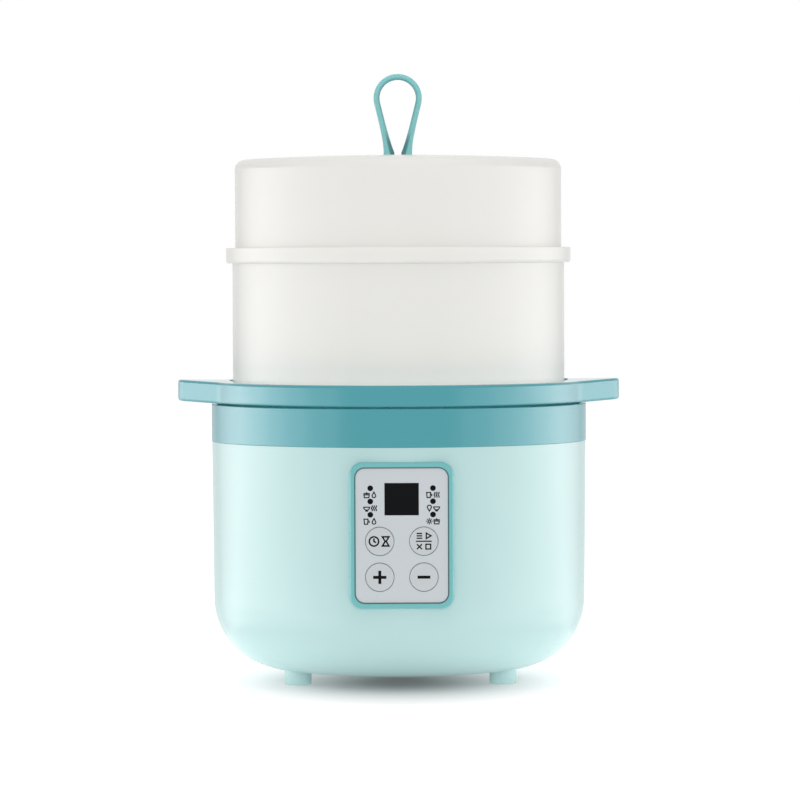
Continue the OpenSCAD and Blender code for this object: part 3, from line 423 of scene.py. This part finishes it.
# The boards: colour, lowest and highest roughness, then the scale and size of the weave
BOARD_GREEN = (0.02, 0.16, 0.06)
BOARD_ROUGH = (0.32, 0.45)
WEAVE_SCALE = 900
WEAVE_STRETCH = 6
WEAVE_PART = 0.15
WEAVE_DEPTH = 10 * MICRON


def laminate(name):
    """Glass fibre board: a fine cross weave under a satin mask."""
    material, tree, main, place = shader(name)
    warp = noise(tree, stretched(tree, place, (1, WEAVE_STRETCH, WEAVE_STRETCH)), WEAVE_SCALE, detail=1)
    weft = noise(tree, stretched(tree, place, (WEAVE_STRETCH, 1, 1)), WEAVE_SCALE, detail=1)
    weave = math_node(tree, "MULTIPLY", math_node(tree, "ADD", warp, weft), 0.5)
    tree.links.new(shaded(tree, weave, BOARD_GREEN, WEAVE_PART), main.inputs["Base Color"])
    tree.links.new(ranged(tree, warp, *BOARD_ROUGH), main.inputs["Roughness"])
    bumped(tree, main, weave, WEAVE_DEPTH)
    return material


# Materials by the names of the frame's slots, and the ink of the printed signs
SOFT_BODY = {"Subsurface Weight": 0.3, "Subsurface Scale": 2 * MM}
SATIN_PRINT = {"grain": 5200, "depth": 3 * MICRON, "vary": 0.012, "Metallic": 0.1}
PLASTICS = {
    "mint_plastic": {"colour": (0.525, 0.75, 0.743), "rough": 0.24, "Specular IOR Level": 0.45},
    "teal_plastic": {"colour": (0.057, 0.342, 0.393), "rough": 0.23, "Specular IOR Level": 0.6},
    "bezel_plastic": {"colour": (0.175, 0.52, 0.53), "rough": 0.3},
    "frosted_plastic": {
        "colour": (0.95, 0.932, 0.885), "rough": 0.5, "grain": 3200, "depth": 3 * MICRON, "vary": 0.012,
        **SOFT_BODY, "Subsurface Radius": (1.0, 0.95, 0.88), "Transmission Weight": 0.05,
        "Specular IOR Level": 0.0, "Coat Weight": 0.55, "Coat Roughness": 0.2},
    "soft_silicone": {
        "colour": (0.27, 0.65, 0.66), "rough": 0.6, "grain": 1800, "depth": 4 * MICRON, "vary": 0.03,
        **SOFT_BODY, "Specular IOR Level": 0.2},
    "pad_rubber": {
        "colour": (0.72, 0.86, 0.85), "rough": 0.62, "grain": 1400, "depth": 20 * MICRON, "vary": 0.04},
    "panel_silver": {"colour": (0.605, 0.645, 0.668), "rough": 0.42, **SATIN_PRINT},
    "button_silver": {"colour": (0.585, 0.62, 0.64), "rough": 0.38, **SATIN_PRINT},
    "smoked_lens": {
        "colour": (0.006, 0.0065, 0.0075), "rough": 0.16, "grain": 900, "vary": 0.05,
        "Specular IOR Level": 0.05},
    "black_plastic": {
        "colour": (0.018, 0.018, 0.02), "rough": 0.44, "grain": 1500, "depth": 12 * MICRON, "vary": 0.1},
    "blue_plastic": {"colour": (0.02, 0.13, 0.42), "rough": 0.36},
    "amber_plastic": {"colour": (0.6, 0.3, 0.05), "rough": 0.3},
    "lamp_resin": {"colour": (0.8, 0.74, 0.5), "rough": 0.2, "Transmission Weight": 0.3},
    "lead_brown": {"colour": (0.12, 0.045, 0.02), "rough": 0.46},
    "lead_pale": {"colour": (0.74, 0.73, 0.68), "rough": 0.5},
    "cable_grey": {"colour": (0.3, 0.3, 0.31), "rough": 0.48},
    "gasket_silicone": {"colour": (0.7, 0.7, 0.68), "rough": 0.55, "grain": 1200, "depth": 20 * MICRON},
    "fuse_ceramic": {"colour": (0.78, 0.76, 0.7), "rough": 0.66, "grain": 1600, "depth": 30 * MICRON},
    "panel_ink": {"colour": (0.004, 0.004, 0.005), "rough": 0.5, "Specular IOR Level": 0.08},
}
METALS = {
    "tank_steel": {
        "colour": (0.62, 0.62, 0.61), "rough": 0.3, "stretch": (1, 1, 14), "scale": 500,
        "depth": 0.6 * MICRON, "vary": 0.01, "uneven": 0.012},
    "cast_metal": {"colour": (0.55, 0.55, 0.56), "rough": 0.46, "scale": 1500, "depth": 30 * MICRON},
    "sheet_metal": {"colour": (0.6, 0.6, 0.6), "rough": 0.34, "stretch": (9, 1, 1), "scale": 600},
    "element_metal": {"colour": (0.42, 0.4, 0.37), "rough": 0.5, "scale": 1100, "depth": 20 * MICRON},
    "screw_steel": {"colour": (0.58, 0.59, 0.6), "rough": 0.32, "scale": 2400},
    "contact_brass": {"colour": (0.72, 0.53, 0.24), "rough": 0.28, "stretch": (1, 1, 6), "scale": 1300},
}
looks = {name: moulded(name, **values) for name, values in PLASTICS.items()}
looks.update({name: metal(name, **values) for name, values in METALS.items()})
looks["glazed_pot"] = glazed("glazed_pot")
looks["board_laminate"] = laminate("board_laminate")


# What changes over a piece with its place
def reopened(name):
    """The node tree, the Principled shader and a place socket of a finished material."""
    tree = looks[name].node_tree
    main = next(node for node in tree.nodes if node.type == "BSDF_PRINCIPLED")
    return tree, main, object_place(tree)


def tinted(tree, main, factor, colour):
    """Turns the shader's colour into another one by a factor."""
    socket = main.inputs["Base Color"]
    tree.links.new(colour_mix(tree, factor, socket.links[0].from_socket, [*colour, 1]), socket)


# A face turns into a top between these upward parts of its normal, and loses this share of its roughness
TOP_FROM = 0.9
TOP_FULL = 0.99
TOP_POLISH = 0.7
# The seam between the collar and the ring lies inside this radius, up to this rise above the collar
SEAM_RADIUS = 86.3 * MM
SEAM_RISE = 0.7 * MM
# Paler teal painted deep in the seam as painted light, lifting the shade of the gap
SEAM_PAINTED_LIGHT = (0.22, 0.75, 0.8)


def polish_tops():
    """Makes upward faces of the teal plastic shinier, and the faces deep in the seam matt, with a paler teal
    painted on them as painted light that lifts the gap's shade.
    """
    tree, main, place = reopened("teal_plastic")
    gloss = main.inputs["Roughness"].links[0].from_socket
    upward = split(tree, geometry(tree, "Normal"))[2]
    polish = faded(tree, upward, TOP_FROM, TOP_FULL, start=1.0, end=1 - TOP_POLISH)
    across = vector_node(tree, "LENGTH", stretched(tree, place, (1, 1, 0)))
    inside = math_node(tree, "LESS_THAN", across, SEAM_RADIUS)
    seam_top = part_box("collar")[1].z + SEAM_RISE
    below = math_node(tree, "LESS_THAN", split(tree, place)[2], seam_top)
    deep = math_node(tree, "MULTIPLY", inside, below)
    rough = math_node(tree, "MAXIMUM", math_node(tree, "MULTIPLY", gloss, polish), deep)
    tree.links.new(rough, main.inputs["Roughness"])
    # Painted light: the faces deep in the seam turn to the paler teal
    tinted(tree, main, deep, SEAM_PAINTED_LIGHT)


# The gap round the panel's plate, the radius of its corners, the width of the painted shade line and of its
# full part, then the colour of that painted shade
SEAT_GAP = 0.25 * MM
SEAT_CORNER = 4.4 * MM
SEAT_LINE = 0.5 * MM
SEAT_FULL = SEAT_LINE / 3
SEAT_SHADE = (0.08, 0.2, 0.205)
# Far more than the panel is deep, so that only the place in its plane counts
ANY_DEPTH = 1.0


def paint_seat_shade():
    """Paints shade into the bezel's colour in a thin line round the plate that lies in it, where the gap
    there is in shadow.
    """
    tree, main, place = reopened("bezel_plastic")
    low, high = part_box("panel_plate")
    half = (high - low) / 2
    inset = SEAT_CORNER - SEAT_GAP
    inner = (half.x - inset, ANY_DEPTH, half.z - inset)
    aside = vector_node(tree, "ABSOLUTE", vector_node(tree, "SUBTRACT", place, (low + high) / 2))
    past = vector_node(tree, "MAXIMUM", vector_node(tree, "SUBTRACT", aside, inner), (0, 0, 0))
    away = vector_node(tree, "LENGTH", past)
    edge = faded(tree, away, SEAT_CORNER + SEAT_FULL, SEAT_CORNER + SEAT_LINE, start=1.0, end=0.0)
    # Painted shade: the thin line round the plate turns to the shade colour
    tinted(tree, main, edge, SEAT_SHADE)


# The loop's middle as a share of its rise, and the range of facing over which its inner side gets its
# painted shade
LOOP_MIDDLE = 0.7
INNER_FROM = 0.1
INNER_FULL = 0.9
INNER_SHADE = 0.45
# Half the gap between the loop's feet, its growth for each metre up, and the blur of its edge
FEET_GAP = 3.6 * MM
FEET_SPREAD = 0.25
FEET_BLUR = (-0.4 * MM, 0.5 * MM)
FEET_SHADE = 0.75
# The painted shade at the loop's feet fades out between these two heights
FEET_FADE = (5 * MM, 14 * MM)
# The colour of the painted shade on the loop
LOOP_PAINTED_SHADE = (0.06, 0.17, 0.18)


def paint_loop_shade():
    """Paints shade on the inner side of the loop that stands on the cover, most of all at its feet."""
    tree, main, place = reopened("soft_silicone")
    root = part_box("steam_cover")[1].z
    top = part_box("loop_handle")[1].z
    loop_middle = (0, 0, root + LOOP_MIDDLE * (top - root))
    inward = vector_node(tree, "NORMALIZE", vector_node(tree, "SUBTRACT", loop_middle, place))
    facing = vector_node(tree, "DOT_PRODUCT", inward, geometry(tree, "Normal"))
    inner_side = faded(tree, facing, INNER_FROM, INNER_FULL, end=INNER_SHADE)
    parts = split(tree, place)
    up = math_node(tree, "SUBTRACT", parts[2], root)
    gap = math_node(tree, "ADD", math_node(tree, "MULTIPLY", up, FEET_SPREAD), FEET_GAP)
    within = math_node(tree, "SUBTRACT", gap, math_node(tree, "ABSOLUTE", parts[0]))
    between = faded(tree, within, *FEET_BLUR, end=FEET_SHADE)
    feet = math_node(tree, "MULTIPLY", between, faded(tree, up, *FEET_FADE, start=1.0, end=0.0))
    # Painted shade: the inner side and the feet turn towards the dark colour
    tinted(tree, main, math_node(tree, "MAXIMUM", inner_side, feet), LOOP_PAINTED_SHADE)


# How far up the tier's foot the painted glow reaches, how strongly it glows, how near a neighbour has to be
# for it, and its warm colour
GLOW_REACH = 16 * MM
GLOW_LEVEL = 0.5
GLOW_NEAR = 12 * MM
GLOW_WARM = (1.0, 0.85, 0.79, 1)


def paint_foot_glow():
    """Paints a warm glow into the frosted wall's foot where the ring stands close to it: painted light in
    place of the light that a frosted wall lets through.
    """
    tree, main, place = reopened("frosted_plastic")
    up = math_node(tree, "SUBTRACT", split(tree, place)[2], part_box("steam_tier")[0].z)
    glow = faded(tree, up, 0, GLOW_REACH, start=GLOW_LEVEL, end=0.0)
    open_sky = tree.nodes.new("ShaderNodeAmbientOcclusion")
    open_sky.inputs["Distance"].default_value = GLOW_NEAR
    closed = math_node(tree, "SUBTRACT", 1.0, open_sky.outputs["AO"])
    main.inputs["Emission Color"].default_value = GLOW_WARM
    # Painted light: the foot glows though no lamp is there
    tree.links.new(math_node(tree, "MULTIPLY", glow, closed), main.inputs["Emission Strength"])


polish_tops()
paint_seat_shade()
paint_loop_shade()
paint_foot_glow()

for node in nodes.values():
    for slot in node.material_slots:
        slot.material = looks[slot.material.name.split(".")[0]]

# Smooth faces on the pieces that the frame holds as facets
FACETED = ["carry_ring", "loop_handle", "panel_bezel", "mains_leads", "heater_leads", "control_cable"]
SHARP_ANGLE = math.radians(32)
WELD = 4 * MICRON


def smooth_group():
    """Geometry nodes that join the facets and keep only their sharp edges."""
    group = bpy.data.node_groups.new("smooth_facets", "GeometryNodeTree")
    group.interface.new_socket("Geometry", in_out="INPUT", socket_type="NodeSocketGeometry")
    group.interface.new_socket("Geometry", in_out="OUTPUT", socket_type="NodeSocketGeometry")
    source = group.nodes.new("NodeGroupInput")
    weld = group.nodes.new("GeometryNodeMergeByDistance")
    weld.inputs["Distance"].default_value = WELD
    angle = group.nodes.new("GeometryNodeInputMeshEdgeAngle")
    sharp = group.nodes.new("FunctionNodeCompare")
    sharp.inputs[1].default_value = SHARP_ANGLE
    normal = group.nodes.new("GeometryNodeSetMeshNormal")
    normal.mode = "SHARPNESS"
    normal.inputs["Remove Custom"].default_value = True
    result = group.nodes.new("NodeGroupOutput")
    group.links.new(source.outputs[0], weld.inputs[0])
    group.links.new(weld.outputs[0], normal.inputs[0])
    group.links.new(angle.outputs["Unsigned Angle"], sharp.inputs[0])
    group.links.new(sharp.outputs[0], normal.inputs["Edge Sharpness"])
    group.links.new(normal.outputs[0], result.inputs[0])
    return group


def smooth_facets():
    """Shades faceted nodes as the round forms that they stand for; their vertices stay as they are."""
    group = smooth_group()
    for name in FACETED:
        smooth = nodes[name].modifiers.new("smooth", "NODES")
        smooth.node_group = group
        level = nodes[name].modifiers.new("level", "WEIGHTED_NORMAL")
        level.keep_sharp = True


smooth_facets()

# Printed signs on the panel and the buttons, in place of the words on the real one
# The ink stands this far out of its face, and reaches this far into it
INK_UP = 0.03 * MM
INK_IN = 0.05 * MM
# A corner's stroke grows no wider than its width divided by this
MITRE_LIMIT = 0.4
# Shapes in the signs' own unit, in which a sign is 1 wide and 1 high
WAVE_SWING = 0.08
WAVE_HALF = 0.44
WAVE_STEPS = 12
WAVE_TURN = math.pi / 4
RAYS = 8
RAY_START = 0.34
RAY_END = 0.5


def line(*points):
    """A path through points of a sign."""
    return [Vector(point) for point in points]


def arc(x, y, radius, first, last, steps=14):
    """A path along an arc, with its angles in degrees."""
    turns = [math.radians(first + (last - first) * i / steps) for i in range(steps + 1)]
    return [Vector((x + radius * math.cos(t), y + radius * math.sin(t))) for t in turns]


def wave(x):
    """An upright wavy path."""
    fall = 2 * WAVE_HALF / WAVE_STEPS
    return [Vector((x + WAVE_SWING * math.sin(i * WAVE_TURN), WAVE_HALF - i * fall))
            for i in range(WAVE_STEPS + 1)]


def ray(degrees):
    """A short path away from the middle."""
    turn = Vector((math.cos(math.radians(degrees)), math.sin(math.radians(degrees))))
    return [turn * RAY_START, turn * RAY_END]


# Each sign: its open paths and its closed paths
SIGNS = {
    "pot": ([line((-0.5, 0.22), (0.5, 0.22)), line((0, 0.26), (0, 0.46))],
            [line((-0.42, 0.02), (0.42, 0.02), (0.34, -0.42), (-0.34, -0.42))]),
    "drop": ([], [arc(0, -0.14, 0.28, -220, 40) + line((0, 0.46))]),
    "bowl": ([line((-0.22, -0.46), (0.22, -0.46))], [arc(0, 0.16, 0.46, 180, 360)]),
    "steam": ([wave(-0.32), wave(0), wave(0.32)], []),
    "cup": ([arc(0.2, -0.04, 0.2, -60, 60, 8)],
            [line((-0.42, 0.36), (0.2, 0.36), (0.14, -0.44), (-0.34, -0.44))]),
    "cone": ([], [line((0, -0.48)) + arc(0, 0.12, 0.32, -10, 190)]),
    "sun": ([ray(360 * i / RAYS) for i in range(RAYS)], [arc(0, 0, 0.2, 0, 330, 11)]),
    "clock": ([line((0, 0.3), (0, 0), (0.2, -0.12))], [arc(0, 0, 0.46, 0, 345, 23)]),
    "hourglass": ([], [line((-0.32, 0.45), (0.32, 0.45), (0.05, 0),
                            (0.32, -0.45), (-0.32, -0.45), (-0.05, 0))]),
    "menu": ([line((-0.42, y), (0.42, y)) for y in (-0.36, 0, 0.36)], []),
    "start": ([], [line((-0.3, 0.42), (0.42, 0), (-0.3, -0.42))]),
    "cancel": ([line((-0.38, -0.38), (0.38, 0.38)), line((-0.38, 0.38), (-0.06, 0.06)),
                line((0.06, -0.06), (0.38, -0.38))], []),
    "stop": ([], [line((-0.36, -0.36), (0.36, -0.36), (0.36, 0.36), (-0.36, 0.36))]),
    "rule": ([line((-0.5, 0), (0.5, 0))], []),
    "plus": ([line((-0.5, 0), (0.5, 0)), line((0, 0.5), (0, 0.09)), line((0, -0.09), (0, -0.5))], []),
}


def stroke(form, path, width, closed, front, back):
    """Adds a bar of ink of a width along a path in the panel's plane."""
    # A row has the corners of one cross section: front left, front right, back left and back right
    rows = []
    for i, point in enumerate(path):
        before = path[i - 1] if closed or i else None
        after = path[(i + 1) % len(path)] if closed or i + 1 < len(path) else None
        into = (point - before).normalized() if before else (after - point).normalized()
        away = (after - point).normalized() if after else into
        aside = Vector((-into.y - away.y, into.x + away.x)).normalized()
        reach = width / 2 / max(MITRE_LIMIT, aside.dot(Vector((-into.y, into.x))))
        sides = [point + aside * reach, point - aside * reach]
        rows.append([form.verts.new((p.x, y, p.y)) for y in (front, back) for p in sides])
    pairs = zip(rows, rows[1:] + rows[:1]) if closed else zip(rows, rows[1:])
    for a, b in pairs:
        for j, k in ((0, 1), (1, 3), (3, 2), (2, 0)):
            form.faces.new((a[j], a[k], b[k], b[j]))
    if not closed:
        form.faces.new([rows[0][j] for j in (0, 2, 3, 1)])
        form.faces.new([rows[-1][j] for j in (0, 1, 3, 2)])


def print_signs(name, placed, face, body):
    """One thin mesh of ink on a face; placed holds sign, x, height, size and stroke width in millimetres."""
    form = bmesh.new()
    for sign, x, z, size, width in placed:
        shift = Vector((x, z))
        for closed, paths in enumerate(SIGNS[sign]):
            for path in paths:
                points = [(shift + p * size) * MM for p in path]
                stroke(form, points, width * MM, bool(closed), face - INK_UP, face + INK_IN)
    bmesh.ops.recalc_face_normals(form, faces=form.faces)
    mesh = bpy.data.meshes.new(name)
    form.to_mesh(mesh)
    form.free()
    mesh.materials.append(looks["panel_ink"])
    ink = bpy.data.objects.new(name, mesh)
    scene.collection.objects.link(ink)
    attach(ink, body)


def middle(node):
    """x and height of the middle of a node, in millimetres, and y of its front face in metres."""
    low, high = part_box(node)
    return (low.x + high.x) / 2 / MM, (low.z + high.z) / 2 / MM, low.y


# Signs under the six dots, in millimetres: left and right column, each from top to bottom
DOT_X = 14.2
DOT_PITCH = 6.0
LABEL_DROP = 3.05
LABEL_SIZE = 2.9
LABEL_STROKE = 0.5
LABEL_ASIDE = 1.65
LABEL_PAIRS = {-1: (("pot", "drop"), ("bowl", "steam"), ("cup", "drop")),
               1: (("cup", "steam"), ("cone", "bowl"), ("sun", "pot"))}


def print_labels():
    """A pair of signs under each indicator dot."""
    dots_z = middle("indicator_lenses")[1]
    placed = []
    for side, pairs in LABEL_PAIRS.items():
        for row, pair in enumerate(pairs):
            z = dots_z + DOT_PITCH * (1 - row) - LABEL_DROP
            for sign, right in zip(pair, (-LABEL_ASIDE, LABEL_ASIDE)):
                placed.append((sign, side * DOT_X + right, z, LABEL_SIZE, LABEL_STROKE))
    print_signs("ink_labels", placed, middle("panel_plate")[2], "base")


# Signs of each button: sign, place right of and above its middle, size and stroke width in millimetres
BUTTON_SIGNS = {
    "timer_button": [("clock", -2.6, 0, 4.6, 0.72), ("hourglass", 2.7, 0, 4.6, 0.72)],
    "function_button": [("menu", -2, 2.45, 3, 0.6), ("start", 2, 2.45, 3, 0.6), ("rule", 0, 0, 7.2, 0.55),
                        ("cancel", -2, -2.45, 3, 0.6), ("stop", 2, -2.45, 3, 0.6)],
    "plus_button": [("plus", 0, 0, 6, 1.35)],
    "minus_button": [("rule", 0, 0, 5.8, 1.35)],
}


def print_button(button, signs):
    """The signs of a button, whose body has the button's name."""
    x, z, face = middle(button)
    placed = [(sign, x + right, z + up, size, width) for sign, right, up, size, width in signs]
    print_signs("ink_" + button, placed, face, button)


print_labels()
for button, signs in BUTTON_SIGNS.items():
    print_button(button, signs)

make_camera()
make_world()
make_floor()
add_sheen(-1, SHEEN_LEFT)
add_sheen(1, SHEEN_RIGHT)
for name, box in SOFT_BOXES.items():
    add_box(name, in_gloss=False, **box)
scene.view_settings.view_transform = "Standard"
